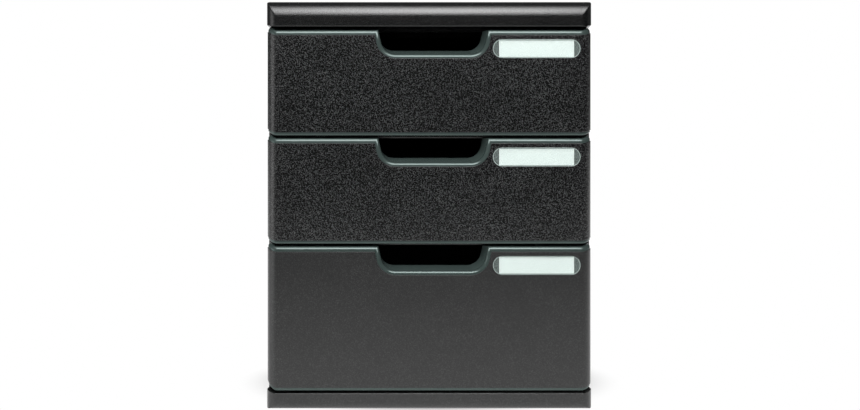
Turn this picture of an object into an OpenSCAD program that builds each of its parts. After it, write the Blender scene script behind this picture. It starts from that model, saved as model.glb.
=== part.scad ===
// Desktop file drawer cabinet: three stacked casings on a plinth, under a cover, with one
// sliding drawer in each casing. The two upper drawers are low and the bottom one is tall.
// Origin: middle of the footprint, on the surface that the feet stand on.
// +Z is up, +X is to the right, and the drawer fronts face -Y.

/* [Cabinet] */
// Width over the cover and the plinth
cabinet_w = 288; // [276:1:300]
// Depth from the drawer fronts to the back
cabinet_d = 339; // [325:1:355]
// Wall thickness of the casings, the fronts, the cover and the plinth
wall = 2.5; // [2.2:0.1:3]
// Radius of the front upright corners, seen from above
corner_r = 9.5; // [8:0.1:9.8]
// Radius of the rear upright corners of the cover and the plinth
rear_corner_r = 6.5; // [5:0.1:9]
// How far the casing sides stand in from the sides of the cover
casing_step = 1; // [0.5:0.1:2]
// Rounding of the lower edge of the cover and of the upper edge of the plinth
lip_edge_r = 0.8; // [0.4:0.1:1]

/* [Casings] */
// Height of a low casing, from its floor to the floor above it
low_casing_h = 95.5; // [88:0.5:120]
// Height of the tall casing
tall_casing_h = 129.6; // [110:0.2:160]
// Thickness of a casing floor
casing_floor_t = 2; // [1.6:0.1:2.6]
// Radius of the rear upright corners of a casing
casing_rear_r = 6; // [4:0.1:6]
// Free space between a drawer front and the casing edge behind it
front_gap = 1; // [0.5:0.1:2]

/* [Runners] */
// How far the rails reach in from the casing sides
rail_w = 10; // [8.5:0.1:12]
// Thickness of the rail that carries the drawer
rail_t = 3; // [2.6:0.1:4]
// Thickness of the flange along the top of a casing side
flange_t = 2.5; // [2:0.1:3]
// Thickness of the drawer rim that slides on the rail
rim_t = 2; // [1.6:0.1:2.6]
// Free space under and beside sliding faces
run_gap = 0.3; // [0.2:0.05:0.5]
// Free space between the drawer side and the rail edge
side_gap = 0.6; // [0.4:0.1:1]
// Least free space above the drawer rim
lift_gap = 0.8; // [0.5:0.1:1.2]
// How far a drawer opens before its stops meet
drawer_travel = 240; // [180:5:260]
// Width of a stop lug under the drawer rim
stop_w = 3; // [2:0.1:4]
// Length of a stop lug
stop_l = 8; // [5:0.5:12]
// Height of a stop lug
stop_h = 1.6; // [1.2:0.1:2]
// From the back of the drawer to its stop lugs
stop_inset = 8; // [6:0.5:16]
// Length of one leg of the gussets under the rails
gusset = 8; // [5:0.5:8]
// Number of gussets under each rail
gusset_count = 5; // [3:1:7]

/* [Stacking pegs] */
// Diameter of the pegs that locate one casing on the next
peg_d = 6; // [4:0.5:7]
// Height of a peg
peg_h = 2; // [1.2:0.1:2]
// Free space round a peg
peg_gap = 0.2; // [0.1:0.05:0.4]
// From the front edge of a casing to its front pegs
peg_front_inset = 15; // [12:0.5:30]
// From the back of the cabinet to the rear pegs
peg_rear_inset = 18; // [15:0.5:30]

/* [Drawer trays] */
// Wall thickness of a drawer tray
tray_wall = 2.2; // [1.8:0.1:2.6]
// Thickness of a tray floor
tray_floor_t = 2; // [1.6:0.1:2.6]
// Radius of the upright corners of a tray
tray_corner_r = 6; // [5:0.1:8]
// Least free space under a tray
floor_gap = 1.5; // [1:0.1:2.2]
// Free space behind a closed tray
back_gap = 0.5; // [0.3:0.1:1.5]
// Free space between the tray and the flanges of its front
seat_gap = 0.3; // [0.2:0.05:0.6]

/* [Drawer fronts] */
// Depth of a drawer front, from its face to the edge of its flanges
front_depth = 13; // [11:0.5:16]
// How far the front stands in from the side of the cover
front_step = 0.5; // [0.2:0.1:1]
// From the casing floor level up to the lower edge of its front
front_low_gap = 1.5; // [1:0.1:2.5]
// From the upper edge of a front up to the level of the next casing
front_top_gap = 0.5; // [0.3:0.1:1]
// How far the grained field stands proud of its smooth border
field_raise = 0.6; // [0.3:0.1:1]
// Width of the smooth border above the field
top_border = 5; // [3.4:0.1:6]
// Width of the smooth border below the field
low_border = 2.7; // [1.5:0.1:5]
// Radius of the field's corners, seen from the front
field_corner_r = 3; // [2:0.1:6]
// Rounding of the upper edge of a front
front_edge_r = 3; // [1:0.1:3.2]
// Rounding of the lower edge of a front
front_low_r = 2; // [0.5:0.1:2.2]

/* [Finger notch] */
// From the middle of the cabinet to the middle of the notch
notch_x = 3.5; // [-6:0.5:6]
// Width of the notch at the upper edge of the front
notch_w = 96.6; // [80:0.1:105]
// Depth of the notch below the upper edge of the front
notch_h = 21.5; // [18:0.5:26]
// Radius of the lower corners of the notch
notch_r = 13; // [10:0.5:16]
// Lean of the sides of the notch from upright
notch_lean = 12; // [4:1:20]
// Width of the smooth border round the notch
notch_border = 4; // [1.5:0.1:4]
// Thickness of the lip that runs back from the notch
lip_t = 2; // [1.5:0.1:2.6]
// How far the lip closes in over the depth of the front
lip_draft = 6.5; // [3:0.5:8]
// Free space between the lip and the tray wall that it passes
lip_gap = 0.8; // [0.4:0.1:1.5]

/* [Snap hooks] */
// From the side of a front to the middle of the hooks that hold it on its tray
hook_inset = 38.5; // [34:0.5:46]
// Width of a hook
hook_w = 10; // [6:0.5:14]
// Thickness of a hook
hook_t = 1.6; // [1.2:0.1:2.2]
// Height of the barb on a hook
barb_h = 1; // [0.6:0.1:1.4]
// Length of the barb on a hook
barb_l = 3; // [2:0.1:4]
// Free space round a hook
hook_gap = 0.3; // [0.2:0.05:0.5]
// From the lower edge of the front up to its lower hooks
hook_low = 20; // [14:0.5:26]
// From the upper edge of the front down to its upper hooks
hook_high = 34; // [30:0.5:40]

/* [Labels] */
// From the right side of a front to the end of its label window
label_inset = 10.2; // [10.1:0.1:12]
// From the upper edge of the front down to the middle of the label
label_drop = 17; // [15:0.5:19]
// Length of the clear label window
label_w = 77; // [76.5:0.5:78]
// Height of the clear label window
label_h = 16.2; // [15.4:0.1:18]
// Thickness of the window
window_t = 1.4; // [1:0.1:1.6]
// Length of the paper card
card_w = 66; // [50:0.5:66]
// Height of the paper card
card_h = 14.5; // [10:0.1:14.6]
// Thickness of the paper card
card_t = 0.3; // [0.2:0.05:0.5]
// Free space round the window and round the card
label_gap = 0.2; // [0.1:0.05:0.3]
// Diameter of the studs that hold the window
stud_d = 2.4; // [1.6:0.1:2.6]
// From the end of the window to the middle of its stud
stud_inset = 3.2; // [2.6:0.1:3.4]
// Free space round a stud
stud_gap = 0.1; // [0.05:0.05:0.2]

/* [Cover] */
// Height of the cover above the casing that it sits on
cover_h = 26.1; // [20:0.1:32]
// Rounding of the front edge of the cover
cover_front_r = 15.5; // [6:0.1:16]
// Rounding of the side and back edges of the cover
cover_edge_r = 3; // [1:0.1:4]
// Height of the shadow gap under the edge of the cover
cover_gap = 2; // [1:0.1:3]
// Thickness of the ribs in the cover and the plinth
rib_t = 1.8; // [1.4:0.1:2.4]
// Height of the ribs in the cover
cover_rib_h = 8; // [4:0.5:10]
// Number of ribs across the cover and the plinth
rib_count = 4; // [2:1:6]

/* [Plinth] */
// Height of the plinth from its underside to the seat of the casing
plinth_h = 14.7; // [11:0.1:20]
// How far the seat of the casing stands above the skirt
plinth_step = 0.6; // [0.3:0.1:1]
// Rounding of the front lower edge of the plinth
plinth_front_r = 5.5; // [3:0.1:7]
// Rounding of the side and back lower edges of the plinth
plinth_edge_r = 2; // [0.5:0.1:2.2]
// Height of the ribs under the plinth
plinth_rib_h = 4; // [2:0.1:6]

/* [Feet] */
// Diameter of a rubber foot
foot_d = 14; // [10:0.5:18]
// Thickness of a rubber foot
foot_t = 3.2; // [2.5:0.1:4]
// How far the feet stand out below the plinth
foot_proud = 1; // [0.6:0.1:1.8]
// From the side of the cabinet to the middle of a foot
foot_inset_x = 22; // [18:0.5:40]
// From the front or back of the cabinet to the middle of a foot
foot_inset_y = 25; // [20:0.5:40]
// Free space round a foot in its recess
foot_gap = 0.15; // [0.1:0.05:0.3]

/* [Hidden] */
$fn = 64;
BOTTOM = 0;
MIDDLE = 1;
TOP = 2;
LEFT = -1;
RIGHT = 1;
FRONT = -1;
REAR = 1;
past = 1; // how far a cutting shape runs past the face that it cuts

// Colours of the mouldings
BLACK_GRAINED = [0.16, 0.16, 0.165];
BLACK_SMOOTH = [0.2, 0.22, 0.22];
RUBBER_GREY = [0.1, 0.1, 0.1];
CARD_WHITE = [0.93, 0.96, 0.94];
CLEAR = [0.75, 0.85, 0.82, 0.4];

// Widths, from the middle to one side
cabinet_half = cabinet_w / 2;
casing_half = cabinet_half - casing_step;
casing_in = casing_half - wall;
rail_in = casing_in - rail_w;
tray_half = rail_in - side_gap;
rim_half = casing_in - side_gap;
front_half = cabinet_half - front_step;
slot_x = casing_in - rail_w / 2; // the pegs, sockets and stop lugs are on the middle of the rail
hook_x = front_half - hook_inset;
label_x = front_half - label_inset - label_w / 2;
upright_r = [corner_r, corner_r, rear_corner_r, rear_corner_r];

// Places along the depth
front_y = -cabinet_d / 2;
back_y = cabinet_d / 2;
face_back_y = front_y + wall;
front_back_y = front_y + front_depth;
casing_front_y = front_back_y + front_gap;
tray_back_y = back_y - wall - back_gap;
stop_y = tray_back_y - stop_inset - stop_l;
peg_y = [casing_front_y + peg_front_inset, back_y - peg_rear_inset];

// Levels, from the surface that the feet stand on
seat_z = foot_proud + plinth_h;
skirt_z = seat_z - plinth_step;
casing_h = [tall_casing_h, low_casing_h, low_casing_h];
casing_z = [seat_z, seat_z + tall_casing_h, seat_z + tall_casing_h + low_casing_h];
stack_z = casing_z[TOP] + casing_h[TOP];
cover_low_z = stack_z + cover_gap;
cover_top_z = stack_z + cover_h;

function casing_top(i) = casing_z[i] + casing_h[i];
function front_low(i) = casing_z[i] + front_low_gap;
function front_top(i) = casing_top(i) - front_top_gap;
function tray_low(i) = casing_z[i] + max(casing_floor_t + floor_gap, front_low_gap + wall + seat_gap);
function rim_top(i) = casing_top(i) - max(flange_t + lift_gap, front_top_gap + wall + seat_gap);
function rail_top(i) = rim_top(i) - rim_t - run_gap;

// The sides of the notch lean outwards; its lower corners are arcs tangent to side and bottom
notch_arc_x = notch_w / 2 - (notch_h - notch_r) * tan(notch_lean) - notch_r / cos(notch_lean);
lip_slope = lip_draft / front_depth;

// ---- Shared outlines and helpers ----

// Rectangle with its own radius at each corner, from the lower left one, anticlockwise
module round_rect(lo, hi, r) {
    corners = [lo, [hi[0], lo[1]], hi, [lo[0], hi[1]]];
    inward = [[1, 1], [-1, 1], [-1, -1], [1, -1]];
    function side(k, axis) = corners[k] + r[k] * (axis == 0 ? [inward[k][0], 0] : [0, inward[k][1]]);
    polygon([for (k = [0:3]) each
        r[k] == 0 ? [corners[k]] : [side(k, (k + 1) % 2), side(k, k % 2)]]);
    for (k = [0:3]) {
        if (r[k] > 0) translate(corners[k] + r[k] * inward[k]) circle(r[k]);
    }
}

// Long shape with round ends
module stadium(w, h) {
    square([w - h, h], center = true);
    for (s = [LEFT, RIGHT]) translate([s * (w - h) / 2, 0]) circle(h / 2);
}

// Runs an outline of depth and height along the width, from -half to half
module along_x(half) {
    rotate([90, 0, 90]) translate([0, 0, -half]) linear_extrude(2 * half) children();
}

// Runs an outline of width and height along the depth, from y0 to y1
module along_y(y0, y1) {
    translate([0, y1, 0]) rotate([90, 0, 0]) linear_extrude(y1 - y0) children();
}

// Runs an outline of width and depth upwards, from z0 to z1
module along_z(z0, z1) {
    translate([0, 0, z0]) linear_extrude(z1 - z0) children();
}

// Puts a copy of its children at each of the four pegs
module at_pegs() {
    for (x = [-slot_x, slot_x], y = peg_y) translate([x, y, 0]) children();
}

// Pegs that reach down from the seat at height z
module pegs(z) {
    at_pegs() translate([0, 0, z - peg_h]) cylinder(d = peg_d, h = peg_h + wall / 2);
}

// Holes for the pegs of the piece above, through everything from z0 to z1
module sockets(z0, z1) {
    at_pegs() translate([0, 0, z0]) cylinder(d = peg_d + 2 * peg_gap, h = z1 - z0);
}

// ---- Plinth and feet ----

// Outside of the plinth up to the skirt's upper edge
module plinth_form() {
    intersection() {
        along_z(foot_proud - past, skirt_z + past)
            round_rect([-cabinet_half, front_y], [cabinet_half, back_y], upright_r);
        along_x(cabinet_half + past)
            round_rect([front_y, foot_proud], [back_y, skirt_z],
                       [plinth_front_r, plinth_edge_r, lip_edge_r, lip_edge_r]);
        along_y(front_y - past, back_y + past)
            round_rect([-cabinet_half, foot_proud], [cabinet_half, skirt_z],
                       [plinth_edge_r, plinth_edge_r, lip_edge_r, lip_edge_r]);
    }
}

// Ribs across and along a box of the given half width, in a layer from z0 to z1
module rib_grid(half, y0, y1, z0, z1) {
    for (k = [1:rib_count]) {
        y = y0 + k * (y1 - y0) / (rib_count + 1);
        translate([-half, y - rib_t / 2, z0]) cube([2 * half, rib_t, z1 - z0]);
    }
    for (s = [-1, 0, 1]) {
        translate([s * half / 2 - rib_t / 2, y0, z0]) cube([rib_t, y1 - y0, z1 - z0]);
    }
}

function foot_spot(side, end) = [side * (cabinet_half - foot_inset_x), end * (back_y - foot_inset_y)];

module base_plinth() {
    plate_z = skirt_z - wall;
    recess_top = foot_t;
    hollow_half = cabinet_half - wall;
    hollow_front = front_y + plinth_front_r + rib_t / 2;
    hollow_back = back_y - wall;
    foot_spots = [for (side = [LEFT, RIGHT], end = [FRONT, REAR]) foot_spot(side, end)];
    color(BLACK_GRAINED) difference() {
        union() {
            difference() {
                union() {
                    plinth_form();
                    along_z(plate_z, seat_z) casing_plan(0);
                }
                along_z(0, plate_z)
                    round_rect([-hollow_half, hollow_front], [hollow_half, hollow_back],
                               upright_r - wall * [1, 1, 1, 1]);
            }
            rib_grid(hollow_half + wall / 4, hollow_front - wall / 4, hollow_back + wall / 4,
                     plate_z - plinth_rib_h, plate_z + wall / 2);
            for (p = foot_spots) translate([p[0], p[1], foot_proud])
                cylinder(d = foot_d + 2 * foot_gap + 2 * wall, h = plate_z + wall / 2 - foot_proud);
        }
        for (p = foot_spots) translate([p[0], p[1], 0])
            cylinder(d = foot_d + 2 * foot_gap, h = recess_top);
        sockets(seat_z - peg_h - peg_gap, seat_z + past);
    }
}

// A rubber foot: a disc with a bevelled rim and a dished underside
module foot(side, end) {
    p = foot_spot(side, end);
    bevel = foot_proud / 2;
    dish = foot_proud / 2;
    r = foot_d / 2;
    color(RUBBER_GREY) translate([p[0], p[1], 0]) rotate_extrude() polygon([
        [0, dish], [r / 2 - dish, dish], [r / 2, 0], [r - bevel, 0], [r, bevel], [r, foot_t], [0, foot_t]
    ]);
}

// ---- Casings ----

// Plan of a casing: square front edges, round rear corners, all sides moved in by inset
module casing_plan(inset) {
    round_rect([-casing_half + inset, casing_front_y], [casing_half - inset, back_y - inset],
               [0, 0, casing_rear_r - inset, casing_rear_r - inset]);
}

// A strip along the inside of one casing side, from the front edge into the back wall
module side_strip(side, z0, z1) {
    w = rail_w + wall / 4;
    translate([side > 0 ? rail_in : -rail_in - w, casing_front_y, z0])
        cube([w, back_y - 0.75 * wall - casing_front_y, z1 - z0]);
}

// Triangular webs that hold up a rail
module gussets(side, z) {
    span = back_y - wall - casing_front_y;
    for (k = [1:gusset_count]) {
        y = casing_front_y + (k - 0.5) * span / gusset_count;
        along_y(y - rib_t / 2, y + rib_t / 2) polygon([
            [side * (casing_in + wall / 2), z + rail_t / 2],
            [side * (casing_in - gusset), z + rail_t / 2],
            [side * (casing_in - gusset), z],
            [side * casing_in, z - gusset],
            [side * (casing_in + wall / 2), z - gusset]
        ]);
    }
}

// Groove in a rail for the stop lug: its front end is the stop
module stop_groove(side, z) {
    y0 = stop_y - drawer_travel - run_gap;
    w = stop_w + 2 * run_gap;
    translate([side * slot_x - w / 2, y0, z - stop_h])
        cube([w, back_y - wall - y0, stop_h + run_gap]);
}

module casing(i) {
    z = casing_z[i];
    top = casing_top(i);
    rail_z = rail_top(i);
    color(BLACK_GRAINED) difference() {
        union() {
            difference() {
                along_z(z, top) casing_plan(0);
                translate([-casing_in, casing_front_y - past, z + casing_floor_t])
                    cube([2 * casing_in, back_y - wall - casing_front_y + past, top - z]);
            }
            for (side = [LEFT, RIGHT]) {
                side_strip(side, rail_z - rail_t, rail_z);
                side_strip(side, top - flange_t, top);
                gussets(side, rail_z - rail_t);
            }
            pegs(z);
        }
        for (side = [LEFT, RIGHT]) stop_groove(side, rail_z);
        sockets(top - flange_t - lift_gap / 2, top + past);
    }
}

// ---- Cover ----

// Outside of the cover, or its hollow when inset is the wall thickness; low_r rounds its lower edge
module cover_form(inset, low_z, low_r) {
    half = cabinet_half - inset;
    y0 = front_y + inset;
    y1 = back_y - inset;
    top = cover_top_z - inset;
    edge_r = max(0, cover_edge_r - inset);
    intersection() {
        along_z(low_z - past, top + past)
            round_rect([-half, y0], [half, y1], upright_r - inset * [1, 1, 1, 1]);
        along_x(half + past)
            round_rect([y0, low_z], [y1, top], [low_r, low_r, edge_r, cover_front_r - inset]);
        along_y(y0 - past, y1 + past)
            round_rect([-half, low_z], [half, top], [low_r, low_r, edge_r, edge_r]);
    }
}

module top_cover() {
    under_z = cover_top_z - wall;
    ring_half = casing_in - side_gap;
    ring_front = casing_front_y + wall;
    ring_back = back_y - wall / 2;
    ring_in = ring_half - wall;
    color(BLACK_GRAINED) union() {
        difference() {
            cover_form(0, cover_low_z, lip_edge_r);
            cover_form(wall, cover_low_z - past, 0);
        }
        // Upright ring that stands on the casing
        difference() {
            translate([-ring_half, ring_front, stack_z])
                cube([2 * ring_half, ring_back - ring_front, under_z + wall / 2 - stack_z]);
            translate([-ring_in, ring_front + wall, stack_z - past])
                cube([2 * ring_in, ring_back - ring_front - 2 * wall, under_z + past - stack_z]);
        }
        rib_grid(ring_in + wall / 4, ring_front + wall / 2, ring_back - wall / 2,
                 under_z - cover_rib_h, under_z + wall / 2);
        at_pegs() translate([0, 0, stack_z])
            cylinder(r = rail_w / 2 - side_gap, h = under_z + wall / 2 - stack_z);
        pegs(stack_z);
    }
}

// ---- Drawer trays ----

module tray(i) {
    low = tray_low(i);
    top = rim_top(i);
    color(BLACK_SMOOTH) difference() {
        union() {
            along_z(low, top)
                round_rect([-tray_half, face_back_y], [tray_half, tray_back_y], tray_corner_r * [1, 1, 1, 1]);
            along_z(top - rim_t, top)
                round_rect([-rim_half, face_back_y], [rim_half, tray_back_y], tray_corner_r * [1, 1, 1, 1]);
            for (side = [LEFT, RIGHT]) {
                translate([side * slot_x - stop_w / 2, stop_y, top - rim_t - stop_h])
                    cube([stop_w, stop_l, stop_h + rim_t / 2]);
            }
        }
        along_z(low + tray_floor_t, top + past)
            round_rect([-tray_half + tray_wall, face_back_y + tray_wall],
                       [tray_half - tray_wall, tray_back_y - tray_wall],
                       (tray_corner_r - tray_wall) * [1, 1, 1, 1]);
        along_y(face_back_y - past, face_back_y + tray_wall + past)
            notch_outline(i, lip_t + lip_gap, top + past);
        hook_slots(i);
    }
}

// ---- Drawer fronts ----

// The notch seen from the front, moved outwards by grow, with its sides run up to height z
module notch_outline(i, grow, z) {
    arc_z = front_top(i) - notch_h + notch_r;
    r = notch_r + grow;
    touch = [notch_arc_x + r * cos(notch_lean), arc_z - r * sin(notch_lean)];
    edge_x = touch[0] + (z - touch[1]) * tan(notch_lean);
    translate([notch_x, 0]) {
        polygon([[-notch_arc_x, arc_z - r], [notch_arc_x, arc_z - r], touch, [edge_x, z],
                 [-edge_x, z], [-touch[0], touch[1]]]);
        for (s = [LEFT, RIGHT]) translate([s * notch_arc_x, arc_z]) circle(r);
    }
}

// The notch closing in from the face to the back of the front, moved outwards by grow
module notch_funnel(i, grow, z) {
    skin = 0.01;
    hull() {
        for (y = [front_y - past, front_back_y + past]) {
            along_y(y, y + skin) notch_outline(i, grow - lip_slope * (y - front_y), z, $fn = 32);
        }
    }
}

// Outer block of a front: the smooth border body and the raised grained field
module front_block(i) {
    low = front_low(i);
    top = front_top(i);
    border_half = front_half - field_raise;
    border_r = corner_r - field_raise;
    border_y = front_y + field_raise;
    intersection() {
        along_z(low, top)
            round_rect([-border_half, border_y], [border_half, front_back_y], [border_r, border_r, 0, 0]);
        along_x(front_half + past)
            round_rect([border_y, low], [front_back_y + past, top], [front_low_r, 0, 0, front_edge_r]);
    }
    difference() {
        intersection() {
            along_z(low + low_border, top - top_border)
                round_rect([-front_half, front_y], [front_half, front_back_y], [corner_r, corner_r, 0, 0]);
            along_y(front_y - past, front_back_y + past)
                round_rect([-front_half, low + low_border], [front_half, top - top_border],
                           field_corner_r * [1, 1, 1, 1]);
        }
        along_y(front_y - 2 * past, front_back_y + 2 * past) notch_outline(i, notch_border, top + past);
    }
}

function hook_top(i, level) = level == BOTTOM ? front_low(i) + hook_low : front_top(i) - hook_high;

// Snap hooks that reach through the tray wall and catch behind it
module hooks(i) {
    catch_y = face_back_y + tray_wall + hook_gap;
    end_y = catch_y + barb_l;
    for (side = [LEFT, RIGHT], level = [BOTTOM, TOP]) {
        z = hook_top(i, level);
        translate([side * hook_x, 0, 0]) along_x(hook_w / 2) polygon([
            [face_back_y - wall / 4, z - hook_t], [end_y, z - hook_t], [end_y, z],
            [catch_y, z + barb_h], [catch_y, z], [face_back_y - wall / 4, z]
        ]);
    }
}

// Slots in the tray wall: the hooks bend down to pass, then spring up behind the wall
module hook_slots(i) {
    for (side = [LEFT, RIGHT], level = [BOTTOM, TOP]) {
        z = hook_top(i, level);
        translate([side * hook_x - hook_w / 2 - hook_gap, face_back_y - past, z - hook_t - barb_h])
            cube([hook_w + 2 * hook_gap, tray_wall + 2 * past, hook_t + barb_h + hook_gap]);
    }
}

module front(i) {
    low = front_low(i);
    top = front_top(i);
    in_half = front_half - wall;
    in_r = corner_r - wall;
    color(BLACK_GRAINED) difference() {
        union() {
            difference() {
                front_block(i);
                along_z(low + wall, top - wall)
                    round_rect([-in_half, face_back_y], [in_half, front_back_y + past], [in_r, in_r, 0, 0]);
            }
            // Lip of the notch, before its hollow is cut
            intersection() {
                notch_funnel(i, lip_t, top + past);
                translate([-in_half, face_back_y - wall / 4, low + wall])
                    cube([2 * in_half, front_back_y - face_back_y + wall / 4, top - low - 1.5 * wall]);
            }
            hooks(i);
        }
        notch_funnel(i, 0, top + 2 * past);
        label_place(i) label_pocket();
    }
}

// ---- Labels ----

// Puts its children's origin in the middle of the label, on the face of the front
module label_place(i) {
    translate([label_x, front_y, front_top(i) - label_drop]) children();
}

stud_x = label_w / 2 - stud_inset;

// Room for the window in the face, with holes for its studs
module label_pocket() {
    along_y(-past, window_t) stadium(label_w + 2 * label_gap, label_h + 2 * label_gap);
    for (s = [LEFT, RIGHT]) along_y(0, wall + past) translate([s * stud_x, 0]) circle(d = stud_d + 2 * stud_gap);
}

module label_card(i) {
    color(CARD_WHITE) label_place(i)
        translate([-card_w / 2, window_t - card_t, -card_h / 2]) cube([card_w, card_t, card_h]);
}

module label_window(i) {
    room = card_t + label_gap;
    color(CLEAR) label_place(i) {
        difference() {
            along_y(0, window_t) stadium(label_w, label_h);
            translate([-card_w / 2 - label_gap, window_t - room, -card_h / 2 - label_gap])
                cube([card_w + 2 * label_gap, room + past, card_h + 2 * label_gap]);
        }
        for (s = [LEFT, RIGHT]) {
            along_y(window_t / 2, wall - label_gap) translate([s * stud_x, 0]) circle(d = stud_d);
        }
    }
}

base_plinth();
foot(LEFT, FRONT);  // foot_front_left
foot(RIGHT, FRONT);  // foot_front_right
foot(LEFT, REAR);  // foot_rear_left
foot(RIGHT, REAR);  // foot_rear_right
casing(BOTTOM);  // casing_bottom
casing(MIDDLE);  // casing_middle
casing(TOP);  // casing_top
top_cover();
tray(BOTTOM);  // tray_bottom
tray(MIDDLE);  // tray_middle
tray(TOP);  // tray_top
front(BOTTOM);  // front_bottom
front(MIDDLE);  // front_middle
front(TOP);  // front_top
label_card(BOTTOM);  // label_card_bottom
label_card(MIDDLE);  // label_card_middle
label_card(TOP);  // label_card_top
label_window(BOTTOM);  // label_window_bottom
label_window(MIDDLE);  // label_window_middle
label_window(TOP);  // label_window_top
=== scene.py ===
"""The finished look of a desktop file drawer cabinet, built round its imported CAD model.

It runs in Blender. Lengths are metres in the model's own frame: +Z is up, +X is to the right and
the drawer fronts face -Y. Sizes of the mouldings are written in millimetres times MM.
"""

from __future__ import annotations

import logging
import math
from collections.abc import Sequence
from dataclasses import dataclass, field
from enum import Enum

import bmesh
import bpy
from bmesh.types import BMEdge, BMesh, BMVert
from bpy.types import Material, NodeSocket, NodeTree, Object
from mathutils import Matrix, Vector


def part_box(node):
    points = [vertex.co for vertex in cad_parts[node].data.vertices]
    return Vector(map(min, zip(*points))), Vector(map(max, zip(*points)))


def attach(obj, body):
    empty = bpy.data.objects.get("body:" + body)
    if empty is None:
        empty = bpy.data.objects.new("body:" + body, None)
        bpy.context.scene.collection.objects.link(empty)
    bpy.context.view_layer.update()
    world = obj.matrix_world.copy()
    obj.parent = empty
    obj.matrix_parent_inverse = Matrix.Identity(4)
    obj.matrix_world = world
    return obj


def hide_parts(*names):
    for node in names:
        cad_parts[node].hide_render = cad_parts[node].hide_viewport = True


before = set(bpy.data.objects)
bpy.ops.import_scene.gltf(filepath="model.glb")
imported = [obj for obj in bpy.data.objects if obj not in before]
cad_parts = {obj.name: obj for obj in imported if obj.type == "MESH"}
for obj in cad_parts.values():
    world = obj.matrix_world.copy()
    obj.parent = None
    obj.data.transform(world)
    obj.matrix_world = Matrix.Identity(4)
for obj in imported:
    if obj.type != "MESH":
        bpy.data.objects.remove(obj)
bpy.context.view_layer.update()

log = logging.getLogger("drawer_cabinet")

MM = 0.001
PEG_H = 2 * MM  # pegs under the casings and the cover
REAR_R = 6 * MM  # rear corners of the casings and of the seat under them
MATH = "ShaderNodeMath"
MAP = "ShaderNodeMapRange"
NOISE = "ShaderNodeTexNoise"
Point2 = tuple[float, float]
Lists = tuple[list, list]  # places of vertices, and the vertex numbers of each face


class Level(Enum):
    """The three storeys of the cabinet, named as the nodes are."""

    BOTTOM = "bottom"
    MIDDLE = "middle"
    TOP = "top"


# ---- Colours, nodes and finishes ----


def linear_rgb(hex_code: str) -> tuple[float, float, float, float]:
    """Turns an sRGB hex colour into the linear RGBA that shaders take.

    Args:
        hex_code: Six hex digits, such as "1c1d1d".

    Returns:
        Red, green and blue in linear light, and an alpha of 1.
    """
    parts = [int(hex_code[k:k + 2], 16) / 255 for k in (0, 2, 4)]
    red, green, blue = [c / 12.92 if c <= 0.04045 else ((c + 0.055) / 1.055) ** 2.4 for c in parts]
    return red, green, blue, 1.0


def add_node(
    tree: NodeTree, kind: str, links: dict | None = None, **settings: object
) -> Sequence[NodeSocket]:
    """Adds one node to a tree.

    Args:
        tree: The tree.
        kind: The node's type name, such as "ShaderNodeBump".
        links: Input name or number to what feeds it: an output, a list of outputs or a plain value.
        **settings: Properties of the node itself, such as data_type="RGBA".

    Returns:
        The outputs of the new node.
    """
    node = tree.nodes.new(kind)
    for name, value in settings.items():
        setattr(node, name, value)
    for name, value in (links or {}).items():
        for feed in value if isinstance(value, list) else [value]:
            if isinstance(feed, NodeSocket):
                tree.links.new(feed, node.inputs[name])
            else:
                node.inputs[name].default_value = feed
    return node.outputs


def new_material(name: str) -> tuple[Material, NodeTree, NodeSocket]:
    """Makes an empty node material.

    Args:
        name: The finish, in plain words.

    Returns:
        The material, its tree, and the place on the object in metres.
    """
    material = bpy.data.materials.new(name)
    material.use_nodes = True
    tree = material.node_tree
    tree.nodes.clear()
    return material, tree, add_node(tree, "ShaderNodeTexCoord")["Object"]


def close_material(material: Material, inputs: dict) -> Material:
    """Gives a material its surface.

    Args:
        material: The material.
        inputs: What feeds the surface, by input name.

    Returns:
        The same material.
    """
    tree = material.node_tree
    surface = add_node(tree, "ShaderNodeBsdfPrincipled", inputs)[0]
    add_node(tree, "ShaderNodeOutputMaterial", {"Surface": surface})
    return material


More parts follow.
